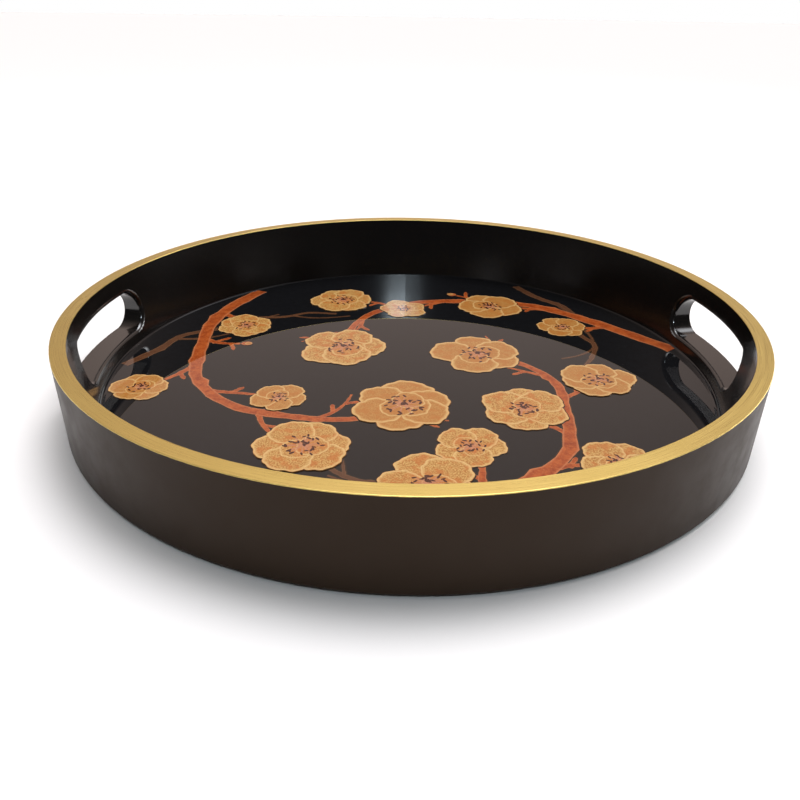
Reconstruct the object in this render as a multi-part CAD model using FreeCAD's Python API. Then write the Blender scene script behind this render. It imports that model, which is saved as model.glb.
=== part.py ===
"""Round lacquered serving tray with two hand holes.

The tray stands on z = 0 with its centre on the Z axis. The hand holes lie on the X axis.
All sizes are in millimetres.
"""
import FreeCAD, Part
import math
import os

# Driving dimensions
RIM_DIAMETER = 350.0          # across the outside of the rim
FOOT_DIAMETER = 349.4         # across the outside of the wall at its lower edge
WALL_HEIGHT = 42.4            # lower edge of the wall to the top of the rim
RIM_WIDTH = 7.1               # flat top of the rim, outside to inside
FLOOR_DIAMETER = 320.0        # inside the wall, at the floor
RIM_BAND_THICKNESS = 0.35     # gold band on top of the wall
RIM_OUTER_ROUND = 0.25
RIM_INNER_ROUND = 0.2
WALL_FOOT_ROUND = 1.6         # lower outer edge of the wall

BOARD_THICKNESS = 3.5
BOARD_DIAMETER = 332.0        # the board runs under the wall, in a rebate
BOARD_GLUE_GAP = 0.1
PRINT_THICKNESS = 0.1
COAT_THICKNESS = 0.4

HOLE_LENGTH = 90.0            # along the middle of the wall's thickness
HOLE_HEIGHT = 21.2
HOLE_BELOW_RIM = 10.7         # top of the rim to the top of the hand hole
HOLE_INNER_ROUND = 2.4        # where the fingers press
HOLE_OUTER_ROUND = 0.8

PAD_DIAMETER = 20.0
PAD_THICKNESS = 1.0
PAD_CIRCLE_DIAMETER = 290.0
PAD_COUNT = 4

# Heights and radii that follow
WALL_BASE_Z = PAD_THICKNESS
BOARD_TOP_Z = WALL_BASE_Z + BOARD_THICKNESS
PRINT_TOP_Z = BOARD_TOP_Z + PRINT_THICKNESS
FLOOR_Z = PRINT_TOP_Z + COAT_THICKNESS
RIM_TOP_Z = WALL_BASE_Z + WALL_HEIGHT
BAND_BASE_Z = RIM_TOP_Z - RIM_BAND_THICKNESS
RIM_RADIUS = RIM_DIAMETER / 2
FOOT_RADIUS = FOOT_DIAMETER / 2
RIM_INNER_RADIUS = RIM_RADIUS - RIM_WIDTH
FLOOR_RADIUS = FLOOR_DIAMETER / 2
BOARD_RADIUS = BOARD_DIAMETER / 2
REBATE_RADIUS = BOARD_RADIUS + BOARD_GLUE_GAP
HOLE_CENTRE_Z = RIM_TOP_Z - HOLE_BELOW_RIM - HOLE_HEIGHT / 2
HOLE_END_RADIUS = HOLE_HEIGHT / 2
WALL_MIDDLE_RADIUS = (RIM_RADIUS + FLOOR_RADIUS) / 2

Z_AXIS = FreeCAD.Vector(0, 0, 1)
CENTRE = FreeCAD.Vector(0, 0, 0)
TINY = 1e-4                   # two round edges closer than this are the same
ON_SURFACE = 0.01             # an edge this close to the wall's surface lies on it
EDGE_MARGIN = 1.0             # edges of a hand hole lie within this of its top and bottom
EDGE_SAMPLES = 5              # points looked at along an edge
CUTTER_MARGIN = 10.0          # the hole cutter reaches this far past both faces of the wall


def outer_radius(z):
    """Outside of the wall at height z: it leans out a little towards the rim."""
    share = (z - WALL_BASE_Z) / WALL_HEIGHT
    return FOOT_RADIUS + (RIM_RADIUS - FOOT_RADIUS) * share


def inner_radius(z):
    """Inside of the wall at height z: it slopes inwards from the rim to the floor."""
    share = (z - FLOOR_Z) / (RIM_TOP_Z - FLOOR_Z)
    return FLOOR_RADIUS + (RIM_INNER_RADIUS - FLOOR_RADIUS) * share


def turned(outline):
    """Full turn of a closed outline of (radius, height) points, with its seam on +Y."""
    points = [FreeCAD.Vector(0, radius, height) for radius, height in outline]
    wire = Part.makePolygon(points + points[:1])
    return Part.Face(wire).revolve(CENTRE, Z_AXIS, 360)


def circles_at(solid, radius, height):
    """Round edges of a turned solid with this radius, at this height."""
    found = []
    for edge in solid.Edges:
        curve = edge.Curve
        if isinstance(curve, Part.Circle):
            if abs(curve.Radius - radius) < TINY and abs(curve.Center.z - height) < TINY:
                found.append(edge)
    return found


def disc(radius, base_z, thickness):
    return Part.makeCylinder(radius, thickness, FreeCAD.Vector(0, 0, base_z))


def hole_cutter(side):
    """Slot with round ends, cut through the wall square to its curve; side is +1 or -1."""
    start = FLOOR_RADIUS - CUTTER_MARGIN
    reach = RIM_RADIUS + CUTTER_MARGIN
    half_turn = (HOLE_LENGTH / 2 - HOLE_END_RADIUS) / WALL_MIDDLE_RADIUS
    base = FreeCAD.Vector(0, 0, HOLE_CENTRE_Z - HOLE_HEIGHT / 2)
    plate = Part.makeCylinder(reach, HOLE_HEIGHT, base, Z_AXIS, 2 * math.degrees(half_turn))
    plate.rotate(CENTRE, Z_AXIS, -math.degrees(half_turn))
    plate = plate.cut(disc(start, base.z, HOLE_HEIGHT))
    for turn in (-half_turn, half_turn):
        outward = FreeCAD.Vector(math.cos(turn), math.sin(turn), 0)
        foot = outward * start + FreeCAD.Vector(0, 0, HOLE_CENTRE_Z)
        end = Part.makeCylinder(HOLE_END_RADIUS, reach - start, foot, outward)
        plate = plate.fuse(end)
    if side < 0:
        plate.rotate(CENTRE, Z_AXIS, 180)
    return plate.removeSplitter()


def hole_edges(solid, surface_radius):
    """Edges of both hand holes that lie on one surface of the wall."""
    lowest = HOLE_CENTRE_Z - HOLE_HEIGHT / 2 - EDGE_MARGIN
    highest = HOLE_CENTRE_Z + HOLE_HEIGHT / 2 + EDGE_MARGIN
    found = []
    for edge in solid.Edges:
        box = edge.BoundBox
        if box.ZMin < lowest or box.ZMax > highest:
            continue
        points = edge.discretize(EDGE_SAMPLES)
        if all(abs(math.hypot(p.x, p.y) - surface_radius(p.z)) < ON_SURFACE for p in points):
            found.append(edge)
    return found


def side_wall():
    """Hoop of the tray: flared inside, rebated for the board, with two hand holes."""
    outline = [
        (REBATE_RADIUS, WALL_BASE_Z),
        (FOOT_RADIUS, WALL_BASE_Z),
        (outer_radius(BAND_BASE_Z), BAND_BASE_Z),
        (inner_radius(BAND_BASE_Z), BAND_BASE_Z),
        (FLOOR_RADIUS, FLOOR_Z),
        (FLOOR_RADIUS, BOARD_TOP_Z),
        (REBATE_RADIUS, BOARD_TOP_Z),
    ]
    wall = turned(outline)
    wall = wall.makeFillet(WALL_FOOT_ROUND, circles_at(wall, FOOT_RADIUS, WALL_BASE_Z))
    for side in (1, -1):
        wall = wall.cut(hole_cutter(side))
    wall = wall.makeFillet(HOLE_INNER_ROUND, hole_edges(wall, inner_radius))
    return wall.makeFillet(HOLE_OUTER_ROUND, hole_edges(wall, outer_radius))


def rim_band():
    """Thin gold band that covers the whole top of the wall."""
    outline = [
        (inner_radius(BAND_BASE_Z), BAND_BASE_Z),
        (outer_radius(BAND_BASE_Z), BAND_BASE_Z),
        (RIM_RADIUS, RIM_TOP_Z),
        (RIM_INNER_RADIUS, RIM_TOP_Z),
    ]
    band = turned(outline)
    band = band.makeFillet(RIM_OUTER_ROUND, circles_at(band, RIM_RADIUS, RIM_TOP_Z))
    return band.makeFillet(RIM_INNER_ROUND, circles_at(band, RIM_INNER_RADIUS, RIM_TOP_Z))


def base_board():
    """Round board glued into the rebate of the wall."""
    return disc(BOARD_RADIUS, WALL_BASE_Z, BOARD_THICKNESS)


def art_print():
    """Printed sheet glued to the board."""
    return disc(FLOOR_RADIUS, BOARD_TOP_Z, PRINT_THICKNESS)


def clear_coat():
    """Clear gloss layer that seals the print and meets the wall."""
    return disc(FLOOR_RADIUS, PRINT_TOP_Z, COAT_THICKNESS)


def foot_pad(index):
    """Thin round pad under the board; the first lies halfway between +X and +Y."""
    turn = math.radians(360 / PAD_COUNT * (index + 0.5))
    radius = PAD_CIRCLE_DIAMETER / 2
    centre = FreeCAD.Vector(radius * math.cos(turn), radius * math.sin(turn), 0)
    return Part.makeCylinder(PAD_DIAMETER / 2, PAD_THICKNESS, centre)


def main():
    pieces = {
        "side_wall": side_wall(),
        "rim_band": rim_band(),
        "base_board": base_board(),
        "art_print": art_print(),
        "clear_coat": clear_coat(),
    }
    for index in range(PAD_COUNT):
        pieces[f"foot_pad_{index + 1}"] = foot_pad(index)
    os.makedirs("parts", exist_ok=True)
    for node, shape in pieces.items():
        shape.exportStep(f"parts/{node}.step")
        box = shape.BoundBox
        print(f"{node}: valid {shape.isValid()}, solids {len(shape.Solids)}, {shape.Volume / 1000:.2f} cm3, "
              f"z {box.ZMin:.2f} to {box.ZMax:.2f}")


main()
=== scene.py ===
import math
import random

import bmesh
import bpy
from mathutils import Matrix, Vector


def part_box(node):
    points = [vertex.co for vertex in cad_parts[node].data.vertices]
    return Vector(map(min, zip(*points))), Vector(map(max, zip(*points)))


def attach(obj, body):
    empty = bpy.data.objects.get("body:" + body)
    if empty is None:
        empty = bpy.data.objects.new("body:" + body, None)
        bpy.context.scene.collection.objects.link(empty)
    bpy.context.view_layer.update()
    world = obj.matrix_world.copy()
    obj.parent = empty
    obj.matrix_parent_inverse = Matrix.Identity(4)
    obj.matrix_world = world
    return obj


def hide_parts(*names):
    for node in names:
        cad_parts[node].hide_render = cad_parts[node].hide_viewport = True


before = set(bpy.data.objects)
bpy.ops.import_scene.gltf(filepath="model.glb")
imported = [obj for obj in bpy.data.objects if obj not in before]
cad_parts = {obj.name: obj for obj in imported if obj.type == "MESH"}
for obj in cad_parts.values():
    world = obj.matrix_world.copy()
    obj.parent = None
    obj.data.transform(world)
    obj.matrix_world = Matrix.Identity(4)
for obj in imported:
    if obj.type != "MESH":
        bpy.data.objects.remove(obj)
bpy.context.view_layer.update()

# Sizes taken from the frame, in metres
MM = 0.001
RIM_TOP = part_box("rim_band")[1].z
RIM_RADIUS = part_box("rim_band")[1].x
FLOOR_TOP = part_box("clear_coat")[1].z
PRINT_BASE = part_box("art_print")[0].z
FLOOR_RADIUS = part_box("clear_coat")[1].x
WALL_SKIN = RIM_RADIUS - 0.8 * MM     # everything of the wall beyond this radius is its outside

# Camera, measured from the rim's centre
LENS = 33.0
SENSOR = 36.0
CAMERA_DISTANCE = 2.2227 * RIM_RADIUS
CAMERA_ELEVATION = math.radians(20.385)
CAMERA_TURN = math.radians(-1.5)
CAMERA_TILT = math.radians(-7.69)
CAMERA_PAN = math.radians(-0.76)
CAMERA_ROLL = math.radians(0.84)

# Lights: azimuth 0 is behind the camera, 90 on the right, 180 beyond the tray
GLOW_ELEVATION = 35
ROOM_LIGHT = [                # colour of the room by the cosine of the angle from its glow
    (-1.0, (0.035, 0.035, 0.037)),
    (0.20, (0.07, 0.067, 0.064)),
    (0.80, (0.36, 0.285, 0.255)),
    (1.0, (0.66, 0.52, 0.46)),
]
SKYLIGHT_AZIMUTH = 155
SKYLIGHT_ELEVATION = 70
SKYLIGHT_STRENGTH = 10.6
SKYLIGHT = [                  # the same for the skylight, which is soft-edged
    (0.88, (0.0, 0.0, 0.0)),
    (0.94, (0.34, 0.35, 0.365)),
    (1.0, (0.97, 1.0, 1.05)),
]
AREA_LIGHTS = [               # name, azimuth, elevation, distance, size, watts, colour
    ("key", 4, 50, 1.5, (0.27, 0.125), 4.4, (0.78, 0.91, 1)),
    ("left", -120, 20, 1.6, (0.6, 0.6), 1.8, (1, 1, 1)),
    ("right", 115, 20, 1.6, (0.8, 0.6), 8, (1, 1, 1)),
]
STAGE_RADIUS = 20.0
STAGE_SIDES = 96

# Printed artwork
INK_STEP = 0.008 * MM         # each ink layer lies this much above the one below
INK_ROOT = 0.02 * MM          # how far every ink slab reaches down into the ground
OUTLINE = 0.55                # dark outline round blossoms and branches, mm
ART_RADIUS = 159.0            # the artwork stops here, just inside the wall, mm
GROUND_SIDES = 256
PETAL_SIDES = 80
CALYX_SIDES = 24
CAP_SIDES = 20
STAMEN_SIDES = 10
FILAMENT_HALF = 0.28          # half width of a stamen's filament, mm
GLOSS_FILLET = [              # the gloss creeps up the wall: distance from the wall and lift, mm
    (2.2, 0.0), (1.2, 0.05), (0.5, 0.22), (0.1, 0.6),
]

Z_UP = Vector((0, 0, 1))


# ---------------------------------------------------------------- small helpers

def link(name, mesh):
    piece = bpy.data.objects.new(name, mesh)
    bpy.context.scene.collection.objects.link(piece)
    return piece


class Surface:
    """A material being built: a Principled shader and the nodes that feed it."""

    def __init__(self, name):
        self.material = bpy.data.materials.new(name)
        self.material.use_nodes = True
        self.tree = self.material.node_tree
        self.paint = self.tree.nodes["Principled BSDF"]
        self.place = self.add("ShaderNodeTexCoord").outputs["Object"]

    def add(self, kind, inputs=None, **settings):
        node = self.tree.nodes.new(kind)
        for key, value in settings.items():
            setattr(node, key, value)
        for key, value in (inputs or {}).items():
            self.feed(node.inputs[key], value)
        return node

    def feed(self, socket, value):
        """Plain values are set on the socket itself; anything else is linked to it."""
        if isinstance(value, bpy.types.NodeSocket):
            self.tree.links.new(value, socket)
        elif socket.type == "RGBA" and len(value) == 3:
            socket.default_value = (*value, 1)
        else:
            socket.default_value = value

    def set(self, **inputs):
        for key, value in inputs.items():
            self.feed(self.paint.inputs[key.replace("_", " ")], value)

    def math(self, operation, first, second=0.0):
        node = self.add("ShaderNodeMath", operation=operation)
        self.feed(node.inputs[0], first)
        self.feed(node.inputs[1], second)
        return node.outputs[0]

    def noise(self, size, detail=2.0, rough=0.5, at=None):
        """Noise whose lumps are about size metres across."""
        inputs = {"Vector": at or self.place, "Scale": 1 / size, "Detail": detail, "Roughness": rough}
        return self.add("ShaderNodeTexNoise", inputs).outputs["Fac"]

    def step(self, value, low, high, start=0.0, end=1.0):
        """Smooth step from start to end as value goes from low to high."""
        inputs = {"Value": value, "From Min": low, "From Max": high, "To Min": start, "To Max": end}
        return self.add("ShaderNodeMapRange", inputs, interpolation_type="SMOOTHSTEP").outputs["Result"]

    def mix(self, share, first, second):
        node = self.add("ShaderNodeMix", data_type="RGBA")
        self.feed(node.inputs["Factor"], share)
        self.feed(node.inputs[6], first)
        self.feed(node.inputs[7], second)
        return node.outputs[2]

    def bump(self, height, distance, strength=1.0):
        inputs = {"Height": height, "Distance": distance, "Strength": strength}
        return self.add("ShaderNodeBump", inputs).outputs["Normal"]

    def attribute(self, name):
        return self.add("ShaderNodeAttribute", attribute_name=name).outputs["Fac"]

    def radius(self):
        """Distance from the tray's axis."""
        flat = self.add("ShaderNodeVectorMath", {0: self.place, 1: (1, 1, 0)}, operation="MULTIPLY")
        return self.add("ShaderNodeVectorMath", {0: flat.outputs[0]}, operation="LENGTH").outputs["Value"]

    def around(self, turns, across):
        """Coordinates that run round the tray's axis and across it, for lines that follow the rim."""
        parts = self.add("ShaderNodeSeparateXYZ", {0: self.place})
        angle = self.math("ARCTAN2", parts.outputs["Y"], parts.outputs["X"])
        along = self.math("MULTIPLY", angle, turns)
        out = self.math("MULTIPLY", self.radius(), across)
        return self.add("ShaderNodeCombineXYZ", {0: along, 1: out}).outputs[0]


# ---------------------------------------------------------------- camera and stage

def add_camera():
    """Camera in front of the tray, looking down a little past its centre."""
    spot = Vector((0, -math.cos(CAMERA_ELEVATION), math.sin(CAMERA_ELEVATION))) * CAMERA_DISTANCE
    pitch = CAMERA_TILT - CAMERA_ELEVATION
    level = Vector((math.sin(CAMERA_PAN), math.cos(CAMERA_PAN), 0))
    ahead = level * math.cos(pitch) + Z_UP * math.sin(pitch)
    right = ahead.cross(Z_UP).normalized()
    up = right.cross(ahead)
    rolled_right = right * math.cos(CAMERA_ROLL) + up * math.sin(CAMERA_ROLL)
    rolled_up = up * math.cos(CAMERA_ROLL) - right * math.sin(CAMERA_ROLL)
    pose = Matrix((rolled_right, rolled_up, -ahead)).transposed().to_4x4()
    pose.translation = spot
    camera = bpy.data.objects.new("camera", bpy.data.cameras.new("camera"))
    camera.data.lens = LENS
    camera.data.sensor_width = SENSOR
    camera.data.clip_start = 0.01
    camera.matrix_world = Matrix.Translation((0, 0, RIM_TOP)) @ Matrix.Rotation(CAMERA_TURN, 4, "Z") @ pose
    bpy.context.scene.collection.objects.link(camera)
    bpy.context.scene.camera = camera


def add_ground():
    """Pale floor that the tray stands on."""
    mesh = bpy.data.meshes.new("studio_floor")
    work = bmesh.new()
    bmesh.ops.create_circle(work, cap_ends=True, segments=STAGE_SIDES, radius=STAGE_RADIUS)
    work.to_mesh(mesh)
    work.free()
    surface = Surface("studio_floor")
    surface.set(Base_Color=(0.885, 0.85, 0.825), Roughness=0.9, Specular_IOR_Level=0.1)
    mesh.materials.append(surface.material)
    link("studio_floor", mesh)


def add_area_light(name, azimuth, elevation, distance, size, watts, colour):
    """Soft box that looks at the tray; azimuth 0 is behind the camera, 90 on the right."""
    lamp = bpy.data.lights.new(name, "AREA")
    lamp.shape = "ELLIPSE"
    lamp.size, lamp.size_y = size
    lamp.energy = watts
    lamp.color = colour
    box = bpy.data.objects.new(name, lamp)
    turn, rise = math.radians(azimuth), math.radians(elevation)
    toward = Vector((math.sin(turn) * math.cos(rise), -math.cos(turn) * math.cos(rise), math.sin(rise)))
    box.location = toward * distance
    box.rotation_mode = "QUATERNION"
    box.rotation_quaternion = toward.to_track_quat("Z", "Y")
    bpy.context.scene.collection.objects.link(box)


def lobe(tree, azimuth, elevation, stops):
    """Light that falls off with the angle from a direction; stops are (cosine, strength colour) pairs."""
    turn, rise = math.radians(azimuth), math.radians(elevation)
    toward = (math.sin(turn) * math.cos(rise), -math.cos(turn) * math.cos(rise), math.sin(rise))
    direction = tree.nodes.new("ShaderNodeTexCoord")
    closeness = tree.nodes.new("ShaderNodeVectorMath")
    closeness.operation = "DOT_PRODUCT"
    closeness.inputs[1].default_value = toward
    tree.links.new(direction.outputs["Generated"], closeness.inputs[0])
    share = tree.nodes.new("ShaderNodeMapRange")
    share.inputs["From Min"].default_value = stops[0][0]
    share.inputs["From Max"].default_value = stops[-1][0]
    tree.links.new(closeness.outputs["Value"], share.inputs["Value"])
    ramp = tree.nodes.new("ShaderNodeValToRGB")
    ramp.color_ramp.interpolation = "EASE"
    tree.links.new(share.outputs["Result"], ramp.inputs["Fac"])
    points = ramp.color_ramp.elements
    span = stops[-1][0] - stops[0][0]
    points[0].color = (*stops[0][1], 1)
    points[1].color = (*stops[-1][1], 1)
    for cosine, colour in stops[1:-1]:
        points.new((cosine - stops[0][0]) / span).color = (*colour, 1)
    background = tree.nodes.new("ShaderNodeBackground")
    tree.links.new(ramp.outputs["Color"], background.inputs["Color"])
    return background


def add_world():
    """Dim room with a soft warm glow beyond the tray and a soft skylight, over a pale backdrop."""
    world = bpy.data.worlds.new("studio")
    bpy.context.scene.world = world
    world.use_nodes = True
    tree = world.node_tree
    tree.nodes.clear()
    output = tree.nodes.new("ShaderNodeOutputWorld")
    both = tree.nodes.new("ShaderNodeAddShader")
    tree.links.new(lobe(tree, 180, GLOW_ELEVATION, ROOM_LIGHT).outputs[0], both.inputs[0])
    skylight = lobe(tree, SKYLIGHT_AZIMUTH, SKYLIGHT_ELEVATION, SKYLIGHT)
    skylight.inputs["Strength"].default_value = SKYLIGHT_STRENGTH
    tree.links.new(skylight.outputs[0], both.inputs[1])
    backdrop = tree.nodes.new("ShaderNodeBackground")
    backdrop.inputs["Color"].default_value = (1, 1, 1, 1)
    rays = tree.nodes.new("ShaderNodeLightPath")
    mix = tree.nodes.new("ShaderNodeMixShader")
    tree.links.new(rays.outputs["Is Camera Ray"], mix.inputs["Fac"])
    tree.links.new(both.outputs[0], mix.inputs[1])
    tree.links.new(backdrop.outputs[0], mix.inputs[2])
    tree.links.new(mix.outputs[0], output.inputs["Surface"])


def add_lights():
    add_world()
    for light in AREA_LIGHTS:
        add_area_light(*light)


# ---------------------------------------------------------------- materials

def wall_lacquer():
    """Black-brown lacquer: satin on the outside of the hoop, with a gloss coat on the inside."""
    surface = Surface("wall_lacquer")
    outside = surface.step(surface.radius(), WALL_SKIN - 0.4 * MM, WALL_SKIN)
    patches = surface.noise(0.03, 3)
    brown = surface.mix(patches, (0.031, 0.0175, 0.0095), (0.039, 0.0230, 0.0135))
    black = surface.mix(patches, (0.0050, 0.0038, 0.0032), (0.0080, 0.0060, 0.0050))
    smudges = surface.noise(0.012, 4, 0.6)
    satin = surface.step(smudges, 0.3, 0.75, 0.36, 0.46)
    gloss = surface.step(smudges, 0.3, 0.75, 0.14, 0.20)
    peel = surface.noise(0.0016, 2)
    surface.set(
        Base_Color=surface.mix(outside, black, brown),
        Roughness=surface.add("ShaderNodeMix", {"Factor": outside, "A": gloss, "B": satin}).outputs[0],
        Specular_IOR_Level=0.11,
        Coat_Weight=surface.step(outside, 0.0, 1.0, 1.0, 0.0),
        Coat_Roughness=0.16,
        Coat_IOR=1.6,
        Normal=surface.bump(peel, 0.004 * MM, 0.6),
    )
    return surface.material


def gold_rim():
    """Satin gold with fine lines turned round the rim."""
    surface = Surface("gold_rim")
    lines = surface.noise(1.0, 3, 0.6, at=surface.around(4.0, 5200.0))
    patches = surface.noise(0.02, 3)
    tone = surface.mix(patches, (0.67, 0.50, 0.15), (0.755, 0.57, 0.19))
    worn = surface.step(surface.noise(0.0011, 3, 0.7), 0.68, 0.78)
    surface.set(
        Base_Color=surface.mix(worn, tone, (0.50, 0.34, 0.10)),
        Metallic=1.0,
        Roughness=surface.step(lines, 0.25, 0.75, 0.25, 0.36),
        Normal=surface.bump(lines, 0.010 * MM, 0.5),
    )
    return surface.material


def board_lacquer():
    """Satin black lacquer over fibreboard, with a faint fibre texture."""
    surface = Surface("board_lacquer")
    fibres = surface.noise(0.0007, 4, 0.7)
    patches = surface.noise(0.04, 2)
    surface.set(
        Base_Color=surface.mix(patches, (0.012, 0.010, 0.009), (0.022, 0.019, 0.017)),
        Roughness=surface.step(fibres, 0.3, 0.7, 0.42, 0.6),
        Normal=surface.bump(fibres, 0.03 * MM, 0.6),
    )
    return surface.material


def pad_rubber():
    surface = Surface("pad_rubber")
    grain = surface.noise(0.0004, 3, 0.7)
    surface.set(
        Base_Color=surface.mix(grain, (0.02, 0.02, 0.02), (0.05, 0.05, 0.05)),
        Roughness=surface.step(grain, 0.3, 0.7, 0.7, 0.9),
        Normal=surface.bump(grain, 0.06 * MM, 0.7),
    )
    return surface.material


def seal(surface):
    """Clear gloss coat over the ink, the same over the whole floor, with a faint waviness."""
    waves = surface.bump(surface.noise(0.018, 1), 0.004 * MM, 0.5)
    surface.set(
        Coat_Weight=1.0,
        Coat_Roughness=0.015,
        Coat_IOR=1.5,
        Coat_Normal=waves,
        Specular_IOR_Level=0.0,
        Roughness=surface.step(surface.noise(0.002, 3), 0.3, 0.7, 0.5, 0.65),
    )
    return surface.material


def ground_ink():
    """Black ground of the print, with the faintest blue mottle."""
    surface = Surface("ground_ink")
    mottle = surface.noise(0.003, 4, 0.6)
    surface.set(Base_Color=surface.mix(mottle, (0.0035, 0.0032, 0.0034), (0.0075, 0.0078, 0.009)))
    return seal(surface)


def outline_ink():
    surface = Surface("outline_ink")
    mottle = surface.noise(0.0015, 3)
    surface.set(Base_Color=surface.mix(mottle, (0.016, 0.009, 0.005), (0.045, 0.022, 0.010)))
    return seal(surface)


def petal_ink():
    """Sandy cream petals: orange grain, a glow and fine rays at the heart, a pale line along the edge."""
    surface = Surface("petal_ink")
    edge = surface.attribute("edge")
    heart = surface.attribute("heart")
    spin = surface.attribute("spin")
    grain = surface.noise(0.0007, 2, 0.7)
    body = surface.mix(surface.step(grain, 0.36, 0.62), (0.30, 0.115, 0.022), (0.54, 0.315, 0.10))
    flush = surface.step(surface.noise(0.006, 4, 0.65), 0.47, 0.62, 0.0, 0.7)
    body = surface.mix(flush, body, (0.42, 0.125, 0.024))
    fan = surface.add("ShaderNodeCombineXYZ", {0: surface.math("MULTIPLY", spin, 14), 1: heart})
    rays = surface.noise(1.0, 3, 0.6, at=fan.outputs[0])
    off_ray = surface.math("ABSOLUTE", surface.math("SUBTRACT", rays, 0.5))
    vein = surface.step(off_ray, 0.0, 0.018, 0.35, 0.0)
    body = surface.mix(vein, body, (0.32, 0.080, 0.018))
    spread = surface.math("ADD", heart, surface.math("MULTIPLY", rays, 0.5))
    glow = surface.step(spread, 0.35, 0.8, 0.65, 0.0)
    body = surface.mix(glow, body, (0.42, 0.115, 0.025))
    body = surface.mix(surface.attribute("age"), body, (0.36, 0.14, 0.03))
    pale = surface.step(edge, 0.80, 0.96, 0.0, 0.6)
    body = surface.mix(pale, body, (0.66, 0.44, 0.18))
    fold = surface.step(edge, 0.97, 1.0, 0.0, 0.75)
    surface.set(Base_Color=surface.mix(fold, body, (0.34, 0.10, 0.02)))
    return seal(surface)


def stamen_ink():
    surface = Surface("stamen_ink")
    grain = surface.noise(0.0005, 2)
    surface.set(Base_Color=surface.mix(grain, (0.035, 0.010, 0.006), (0.09, 0.025, 0.013)))
    return seal(surface)


def filament_ink():
    surface = Surface("filament_ink")
    grain = surface.noise(0.0006, 2)
    surface.set(Base_Color=surface.mix(grain, (0.34, 0.11, 0.045), (0.50, 0.23, 0.13)))
    return seal(surface)


def bark_ink():
    """Orange branches with mottled bark and paler edges; attribute age fades them to brown."""
    surface = Surface("bark_ink")
    edge = surface.attribute("edge")
    age = surface.attribute("age")
    mottle = surface.noise(0.0035, 4, 0.65)
    fresh = surface.mix(surface.step(mottle, 0.3, 0.7), (0.23, 0.034, 0.006), (0.39, 0.082, 0.016))
    old = surface.mix(mottle, (0.060, 0.022, 0.010), (0.125, 0.050, 0.022))
    speck = surface.step(surface.noise(0.0008, 2, 0.7), 0.56, 0.7, 0.0, 0.6)
    fresh = surface.mix(speck, fresh, (0.46, 0.15, 0.045))
    bark = surface.mix(age, fresh, old)
    pale = surface.step(edge, 0.65, 0.95, 0.0, 0.45)
    rind = surface.mix(age, (0.52, 0.20, 0.085), (0.17, 0.085, 0.045))
    surface.set(Base_Color=surface.mix(pale, bark, rind))
    return seal(surface)


INKS = {
    "outline": outline_ink(),
    "petal": petal_ink(),
    "stamen": stamen_ink(),
    "filament": filament_ink(),
    "bark": bark_ink(),
}
INK_ORDER = list(INKS)


# ---------------------------------------------------------------- ink slabs

def on_floor(x, y):
    """A point of the artwork in mm, kept inside the tray's wall."""
    reach = math.hypot(x, y)
    if reach <= ART_RADIUS:
        return x, y
    return x * ART_RADIUS / reach, y * ART_RADIUS / reach


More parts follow.
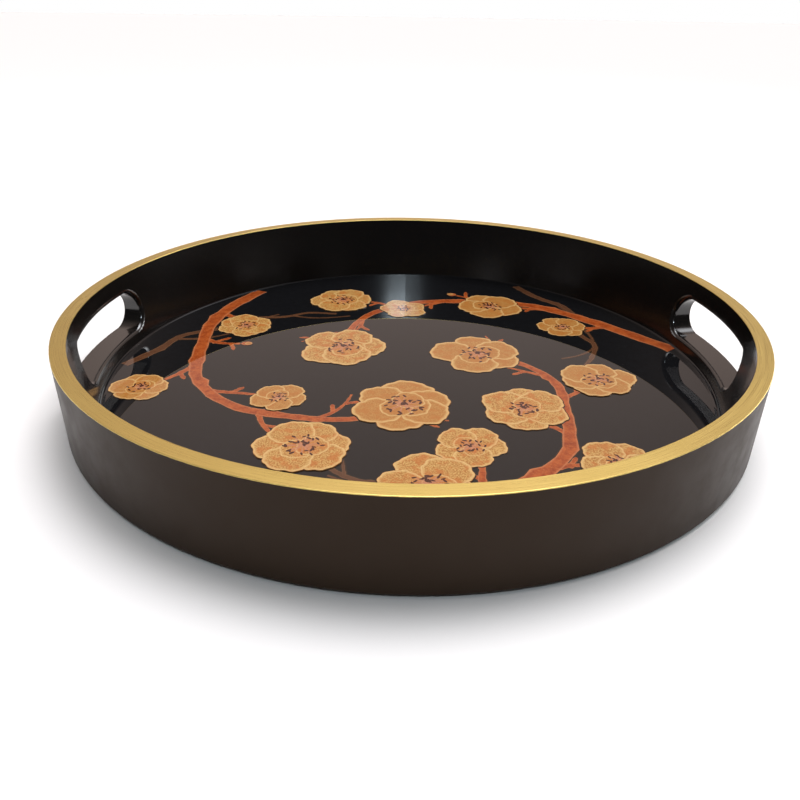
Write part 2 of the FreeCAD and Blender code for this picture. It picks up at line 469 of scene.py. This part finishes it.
class Ink:
    """Collects thin closed slabs of ink and turns them into one piece of the artwork."""

    def __init__(self, name):
        self.name = name
        self.work = bmesh.new()
        floats = self.work.verts.layers.float
        self.layers = {key: floats.new(key) for key in ("edge", "heart", "spin", "age")}

    def vert(self, x, y, layer, values):
        height = FLOOR_TOP - INK_ROOT if layer is None else FLOOR_TOP + layer * INK_STEP
        made = self.work.verts.new((x * MM, y * MM, height))
        for key, value in values.items():
            made[self.layers[key]] = value
        return made

    def face(self, corners, ink):
        self.work.faces.new(corners).material_index = INK_ORDER.index(ink)

    def close(self, rim, ink):
        """Side and underside of a slab whose top ends at this loop of vertices."""
        under = [self.vert(v.co.x / MM, v.co.y / MM, None, {}) for v in rim]
        for i, top in enumerate(rim):
            self.face([rim[i - 1], under[i - 1], under[i], top], ink)
        self.face(list(reversed(under)), ink)

    def blob(self, middle, outline, layer, ink, rings=(0.45, 0.7, 0.86, 0.95, 1.0), values=None):
        """Slab with a round outline, graded from its middle (edge 0) to its outline (edge 1)."""
        values = values or (lambda x, y: {})
        outline = [on_floor(x, y) for x, y in outline]
        centre = self.vert(*middle, layer, {"edge": 0.0, **values(*middle)})
        previous = None
        for share in rings:
            ring = []
            for x, y in outline:
                px = middle[0] + (x - middle[0]) * share
                py = middle[1] + (y - middle[1]) * share
                ring.append(self.vert(px, py, layer, {"edge": share, **values(px, py)}))
            for i, corner in enumerate(ring):
                if previous is None:
                    self.face([centre, ring[i - 1], corner], ink)
                else:
                    self.face([previous[i - 1], ring[i - 1], corner, previous[i]], ink)
            previous = ring
        self.close(previous, ink)

    def ribbon(self, path, widths, layer, ink, age=0.0):
        """Slab along a path, graded from its middle line (edge 0) to its sides (edge 1)."""
        columns = (-1.0, -0.72, 0.0, 0.72, 1.0)
        rows = []
        for i, (x, y) in enumerate(path):
            ahead = path[min(i + 1, len(path) - 1)]
            behind = path[max(i - 1, 0)]
            dx, dy = ahead[0] - behind[0], ahead[1] - behind[1]
            size = math.hypot(dx, dy) or 1.0
            side = (-dy / size, dx / size)
            left, right = widths[i]
            row = []
            for c in columns:
                reach = c * (right if c > 0 else left)
                at = (x + side[0] * reach, y + side[1] * reach)
                row.append(self.vert(*at, layer, {"edge": abs(c), "age": age}))
            rows.append(row)
        for before, after in zip(rows, rows[1:]):
            for c in range(len(columns) - 1):
                self.face([before[c], before[c + 1], after[c + 1], after[c]][::-1], ink)
        right_side = [row[-1] for row in rows]
        left_side = [row[0] for row in reversed(rows)]
        self.close(right_side + rows[-1][-2:0:-1] + left_side + rows[0][1:-1], ink)

    def finish(self):
        bmesh.ops.recalc_face_normals(self.work, faces=self.work.faces)
        mesh = bpy.data.meshes.new(self.name)
        self.work.to_mesh(mesh)
        self.work.free()
        for ink in INK_ORDER:
            mesh.materials.append(INKS[ink])
        piece = link(self.name, mesh)
        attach(piece, "root")
        return piece


# ---------------------------------------------------------------- artwork: blossom and branches

# Layers the inks are printed in, from the ground up
OUTLINES, BACK_BARK, BARK, BUDS, BLOSSOM_OUTLINES, PETALS = 1, 4, 6, 11, 15, 18
BOUGH_BARK = BARK + 2
BLOSSOM_LAYERS = 13           # layers that one blossom takes
BLOSSOM_STACKS = 4            # blossoms near each other lie in different stacks of layers
# No two inks that overlap share a height, so each slab is lifted by a small share of a layer
FAINT_LIFT, SHOOT_LIFT, BOUGH_LIFT, STAMEN_LIFT = 0.1, 0.03, 0.05, 0.03
BARK_OUTLINE_SHARE = 5        # bark outlines lie this many times closer together than the bark
PETAL_OUTLINE_SHARE = 30
CURVE_STEPS = 7

# The design: boughs scroll in from the wall, evenly spaced round the tray, with fainter ones between
BOUGHS = 3
BOUGH_START = 250             # azimuth where the first bough leaves the wall, degrees
BOUGH_SWEEP = 135             # how far each bough turns on its way in, degrees
BOUGH_POINTS = 8
BOUGH_SWAY = 5.0              # how far its points stray from an even curve, mm
BOUGH_RADII = (157.0, 48.0)   # distance from the centre where it starts and ends, mm
BOUGH_HALVES = (4.8, 1.8)     # half width where it starts and ends, mm
BOUGH_TWIGS = 7               # side twigs, left and right in turn
FAINT_TURN = 50               # the faint boughs start this far after the others, degrees
FAINT_SWEEP = -60
FAINT_RADII = (156.0, 92.0)
FAINT_HALVES = (2.6, 1.0)
FAINT_TWIGS = 3
TWIG_LENGTHS = (28.0, 42.0)
TWIG_SPREAD = (38.0, 58.0)    # angle between a twig and its bough, degrees
TWIG_REACH = 144.0            # no twig ends farther from the centre than this, mm
TIP_RADIUS = 26.0             # blossom at the end of each bough, mm
BLOSSOM_RADII = (14.0, 22.0)  # blossoms at the ends of twigs, mm
BUD_RADII = (3.0, 4.6)
TAN_SHARE = 0.35              # share of the blossoms printed in a deeper tan
TAN_DEPTH = 0.62
CROWDING = 0.85               # blossoms may lie this close, as a share of their radii together
ART_SEED = 7
BLOSSOM_SEED = 100


def between(p, q, r, s, t):
    """Value at share t of the way from q to r, on a smooth curve that also heeds p and s."""
    bend = (2 * p - 5 * q + 4 * r - s) * t * t + (3 * q - p - 3 * r + s) * t ** 3
    return 0.5 * (2 * q + (r - p) * t + bend)


def curve(points):
    """Smooth path through (x, y, half width) points."""
    ends = [points[0], *points, points[-1]]
    path = []
    for a, b, c, d in zip(ends, ends[1:], ends[2:], ends[3:]):
        for step in range(CURVE_STEPS):
            t = step / CURVE_STEPS
            path.append(tuple(between(*values, t) for values in zip(a, b, c, d)))
    return path + [points[-1]]


def draw_branch(ink, points, layer, age, dice):
    """Knobbly branch: a dark outline below and the bark above it."""
    path = curve(points)
    spots = [(x, y) for x, y, _ in path]
    widths = []
    for i, (_, _, half) in enumerate(path):
        knob = 1.35 if i % 5 == 2 else 1.0
        left = half * dice.uniform(0.82, 1.12) * (knob if dice.random() < 0.4 else 1.0)
        right = half * dice.uniform(0.82, 1.12) * (knob if dice.random() < 0.4 else 1.0)
        widths.append((left, right))
    dark = [(left + OUTLINE, right + OUTLINE) for left, right in widths]
    ink.ribbon(spots, dark, OUTLINES + layer / BARK_OUTLINE_SHARE, "outline", age)
    ink.ribbon(spots, widths, layer, "bark", age)


def draw_shoot(ink, x, y, direction, length, layer, age, dice):
    """Short pointed side shoot with a swollen tip."""
    turn = math.radians(direction)
    bend = dice.uniform(-0.25, 0.25)
    points = []
    for share, half in ((0.0, 1.5), (0.4, 1.1), (0.75, 1.2), (1.0, 0.3)):
        reach, angle = length * share, turn + bend * share
        points.append((x + reach * math.cos(angle), y + reach * math.sin(angle), half))
    draw_branch(ink, points, layer, age, dice)


def scroll(start, sweep, radii, halves, dice):
    """Bough that winds inwards from a start azimuth, as (x, y, half width) points."""
    points = []
    for i in range(BOUGH_POINTS):
        share = i / (BOUGH_POINTS - 1)
        stray = dice.uniform(-BOUGH_SWAY, BOUGH_SWAY) if i else 0.0
        reach = radii[0] + (radii[1] - radii[0]) * share + stray
        angle = math.radians(start + sweep * share)
        half = halves[0] + (halves[1] - halves[0]) * share
        points.append((reach * math.cos(angle), reach * math.sin(angle), half))
    return points


def twig(x, y, heading, half, dice):
    """Slender twig that bends a little at every joint, as (x, y, half width) points."""
    points = [(x, y, half)]
    stride = dice.uniform(*TWIG_LENGTHS) / 3
    for share in (0.7, 0.5, 0.25):
        heading += dice.uniform(-22, 22)
        x += stride * math.cos(math.radians(heading))
        y += stride * math.sin(math.radians(heading))
        points.append((x, y, max(half * share, 0.5)))
    return points


def side_twigs(bough, count, dice):
    """Twigs along a bough, left and right in turn, turned inwards where they would meet the wall."""
    path = curve(bough)
    twigs = []
    for j in range(count):
        at = round((j + 1) / (count + 1) * (len(path) - 1))
        (x, y, half), ahead = path[at], path[at + 1]
        along = math.degrees(math.atan2(ahead[1] - y, ahead[0] - x))
        spread = dice.uniform(*TWIG_SPREAD) * (1 if j % 2 else -1)
        tries = [twig(x, y, along + turn, 0.6 * half, dice) for turn in (spread, -spread)]
        inside = [points for points in tries if math.hypot(*points[-1][:2]) < TWIG_REACH]
        twigs += inside[:1]
    return twigs


def shoots_on(points, dice):
    """Two short shoots at the joints of a twig, as (x, y, direction, length)."""
    shoots = []
    for (x, y, _), (ahead_x, ahead_y, _), side in zip(points[1:], points[2:], (1, -1)):
        along = math.degrees(math.atan2(ahead_y - y, ahead_x - x))
        shoots.append((x, y, along + side * dice.uniform(40, 65), dice.uniform(7, 11)))
    return shoots


def design(dice):
    """Works the artwork out: boughs with their twigs and shoots, then blossoms or buds at the tips."""
    boughs, twigs, blossoms, buds = [], [], [], []
    for k in range(BOUGHS):
        bough = scroll(BOUGH_START + 360 / BOUGHS * k, BOUGH_SWEEP, BOUGH_RADII, BOUGH_HALVES, dice)
        boughs.append(bough)
        twigs += side_twigs(bough, BOUGH_TWIGS, dice)
    tips = [(bough, TIP_RADIUS) for bough in boughs]
    tips += [(points, dice.uniform(*BLOSSOM_RADII)) for points in twigs]
    for points, radius in tips:
        x, y, _ = points[-1]
        if all(math.hypot(x - a, y - b) > CROWDING * (radius + c) for a, b, c, *_ in blossoms):
            petals = dice.choice((5, 5, 6))
            turn = dice.uniform(0, 72)
            blossoms.append((x, y, radius, petals, turn, dice.uniform(0.92, 1.0)))
        elif all(math.hypot(x - a, y - b) > c + BUD_RADII[1] for a, b, c, *_ in blossoms):
            heading = math.degrees(math.atan2(y - points[-2][1], x - points[-2][0]))
            buds.append((x, y, dice.uniform(*BUD_RADII), heading))
    shoots = [shoot for points in twigs for shoot in shoots_on(points, dice)]
    return boughs + twigs, shoots, blossoms, buds


def faint_design(dice):
    """The faint boughs between the others, winding the opposite way, with a few twigs."""
    faint = []
    for k in range(BOUGHS):
        start = BOUGH_START + FAINT_TURN + 360 / BOUGHS * k
        bough = scroll(start, FAINT_SWEEP, FAINT_RADII, FAINT_HALVES, dice)
        faint += [bough] + side_twigs(bough, FAINT_TWIGS, dice)
    return faint


def ring_of(x, y, along, across, turn, count, wobble=lambda angle: 0.0):
    """Closed outline round (x, y), longer along the turn."""
    outline = []
    for i in range(count):
        angle = 2 * math.pi * i / count
        reach = 1 + wobble(angle)
        u, v = along * reach * math.cos(angle), across * reach * math.sin(angle)
        across_x = u * math.cos(turn) - v * math.sin(turn)
        across_y = u * math.sin(turn) + v * math.cos(turn)
        outline.append((x + across_x, y + across_y))
    return outline


def grown(outline, middle, margin):
    """The same outline, moved away from its middle by about the margin."""
    grown_outline = []
    for x, y in outline:
        dx, dy = x - middle[0], y - middle[1]
        size = math.hypot(dx, dy)
        grown_outline.append((x + dx / size * margin, y + dy / size * margin))
    return grown_outline


def draw_bud(ink, x, y, radius, direction, dice):
    """Closed bud: an orange calyx with a cream tip."""
    turn = math.radians(direction)
    calyx = ring_of(x, y, radius, radius * 0.8, turn, CALYX_SIDES, lambda a: dice.uniform(-0.05, 0.05))
    ink.blob((x, y), grown(calyx, (x, y), OUTLINE), BUDS, "outline")
    ink.blob((x, y), calyx, BUDS + 1, "bark")
    tip = (x + 0.28 * radius * math.cos(turn), y + 0.28 * radius * math.sin(turn))
    cap = ring_of(*tip, radius * 0.68, radius * 0.6, turn, CAP_SIDES)
    ink.blob(tip, cap, BUDS + 2, "petal", values=lambda px, py: {"heart": 1.0, "spin": 0.0})


def petal_wobble(dice, amount):
    """Soft lobes with small notches, different for every petal."""
    waves = [(k, amount / k ** 0.4, dice.uniform(0, 2 * math.pi)) for k in (3, 5, 8, 13)]
    return lambda angle: sum(size * math.sin(k * angle + start) for k, size, start in waves)


def draw_blossom(ink, x, y, radius, petals, turn, squeeze, base, dice):
    """Open blossom: overlapping petals, then stamens round the heart."""
    lean = math.radians(turn)
    tan = TAN_DEPTH if dice.random() < TAN_SHARE else 0.0

    def placed(angle, reach):
        u, v = reach * math.cos(angle), reach * math.sin(angle) * squeeze
        return x + u * math.cos(lean) - v * math.sin(lean), y + u * math.sin(lean) + v * math.cos(lean)

    def values(px, py):
        dx, dy = px - x, py - y
        return {"heart": math.hypot(dx, dy) / radius, "spin": math.atan2(dy, dx), "age": tan}

    def petal(middle, size, facing, layer, outlined):
        outline = ring_of(*middle, size, size * 1.06, facing, PETAL_SIDES, petal_wobble(dice, 0.052))
        if outlined:
            below = BLOSSOM_OUTLINES + layer / PETAL_OUTLINE_SHARE
            ink.blob(middle, grown(outline, middle, OUTLINE), below, "outline")
        ink.blob(middle, outline, layer, "petal", values=values)

    petal((x, y), radius * 0.55, lean, base, True)
    layer = base
    order = list(range(petals))
    dice.shuffle(order)
    for k in order:
        angle = 2 * math.pi * k / petals + dice.uniform(-0.18, 0.18)
        middle = placed(angle, radius * dice.uniform(0.47, 0.57))
        if math.hypot(*middle) < ART_RADIUS:
            layer += 1
            petal(middle, radius * dice.uniform(0.44, 0.53), lean + angle, layer, True)
    for k in range(petals // 2):
        angle = dice.uniform(0, 2 * math.pi)
        layer += 1
        petal(placed(angle, radius * 0.2), radius * dice.uniform(0.28, 0.36), angle, layer, False)
    draw_stamens(ink, x, y, radius, placed, layer + 1, dice)


def draw_stamens(ink, x, y, radius, placed, layer, dice):
    """Thin filaments with dark heads, and a loose dark cluster in the middle."""
    count = max(7, round(radius))
    for i in range(count + count // 3):
        outer = i < count
        angle = 2 * math.pi * i / count + dice.uniform(-0.2, 0.2)
        reach = radius * (dice.uniform(0.15, 0.42) if outer else dice.uniform(0.0, 0.14))
        head = placed(angle, reach)
        if outer:
            halves = [(FILAMENT_HALF, FILAMENT_HALF)] * 2
            ink.ribbon([(x, y), head], halves, layer + STAMEN_LIFT * i, "filament")
        size = radius * dice.uniform(0.028, 0.045) + 0.55
        rod = ring_of(*head, size, size * 0.44, dice.uniform(0, math.pi), STAMEN_SIDES)
        ink.blob(head, rod, layer + 1.5 + STAMEN_LIFT * i, "stamen", rings=(1.0,))


def add_ground_sheet():
    """Black ground of the print under its gloss, with a low fillet of gloss where it meets the wall."""
    profile = [(FLOOR_RADIUS - gap * MM, lift * MM) for gap, lift in GLOSS_FILLET]
    underside = (profile[-1][0], PRINT_BASE - FLOOR_TOP)
    work = bmesh.new()
    middle = work.verts.new((0, 0, FLOOR_TOP))
    below = work.verts.new((0, 0, PRINT_BASE))
    rings = []
    for radius, lift in [*profile, underside]:
        ring = []
        for i in range(GROUND_SIDES):
            angle = 2 * math.pi * i / GROUND_SIDES
            spot = (radius * math.cos(angle), radius * math.sin(angle), FLOOR_TOP + lift)
            ring.append(work.verts.new(spot))
        rings.append(ring)
    for i in range(GROUND_SIDES):
        work.faces.new((middle, rings[0][i - 1], rings[0][i]))
        work.faces.new((below, rings[-1][i], rings[-1][i - 1]))
        for inner, outer in zip(rings, rings[1:]):
            work.faces.new((inner[i - 1], outer[i - 1], outer[i], inner[i]))
    bmesh.ops.recalc_face_normals(work, faces=work.faces)
    mesh = bpy.data.meshes.new("art_ground")
    work.to_mesh(mesh)
    work.free()
    mesh.materials.append(ground_ink())
    piece = link("art_ground", mesh)
    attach(piece, "root")
    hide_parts("art_print", "clear_coat")


def add_artwork():
    add_ground_sheet()
    dice = random.Random(ART_SEED)
    branches, shoots, blossoms, buds = design(dice)
    back = Ink("art_back_branches")
    for i, points in enumerate(faint_design(dice)):
        draw_branch(back, points, BACK_BARK + FAINT_LIFT * i, 1.0, dice)
    back.finish()
    front = Ink("art_branches")
    for i, (x, y, direction, length) in enumerate(shoots):
        draw_shoot(front, x, y, direction, length, BARK + SHOOT_LIFT * i, 0.0, dice)
    for i, points in enumerate(reversed(branches)):
        draw_branch(front, points, BOUGH_BARK + BOUGH_LIFT * i, 0.0, dice)
    front.finish()
    closed = Ink("art_buds")
    for bud in buds:
        draw_bud(closed, *bud, dice)
    closed.finish()
    opened = Ink("art_blossoms")
    for i, blossom in enumerate(blossoms):
        base = PETALS + BLOSSOM_LAYERS * (i % BLOSSOM_STACKS)
        draw_blossom(opened, *blossom, base, random.Random(BLOSSOM_SEED + i))
    opened.finish()


# ---------------------------------------------------------------- build

def paint(node, material):
    """Gives a CAD node its finish."""
    piece = bpy.data.objects[node]
    piece.data.materials.clear()
    piece.data.materials.append(material)


add_camera()
add_ground()
add_lights()
paint("side_wall", wall_lacquer())
paint("rim_band", gold_rim())
paint("base_board", board_lacquer())
rubber = pad_rubber()
for number in (1, 2, 3, 4):
    paint(f"foot_pad_{number}", rubber)
add_artwork()
bpy.context.scene.view_settings.view_transform = "Standard"
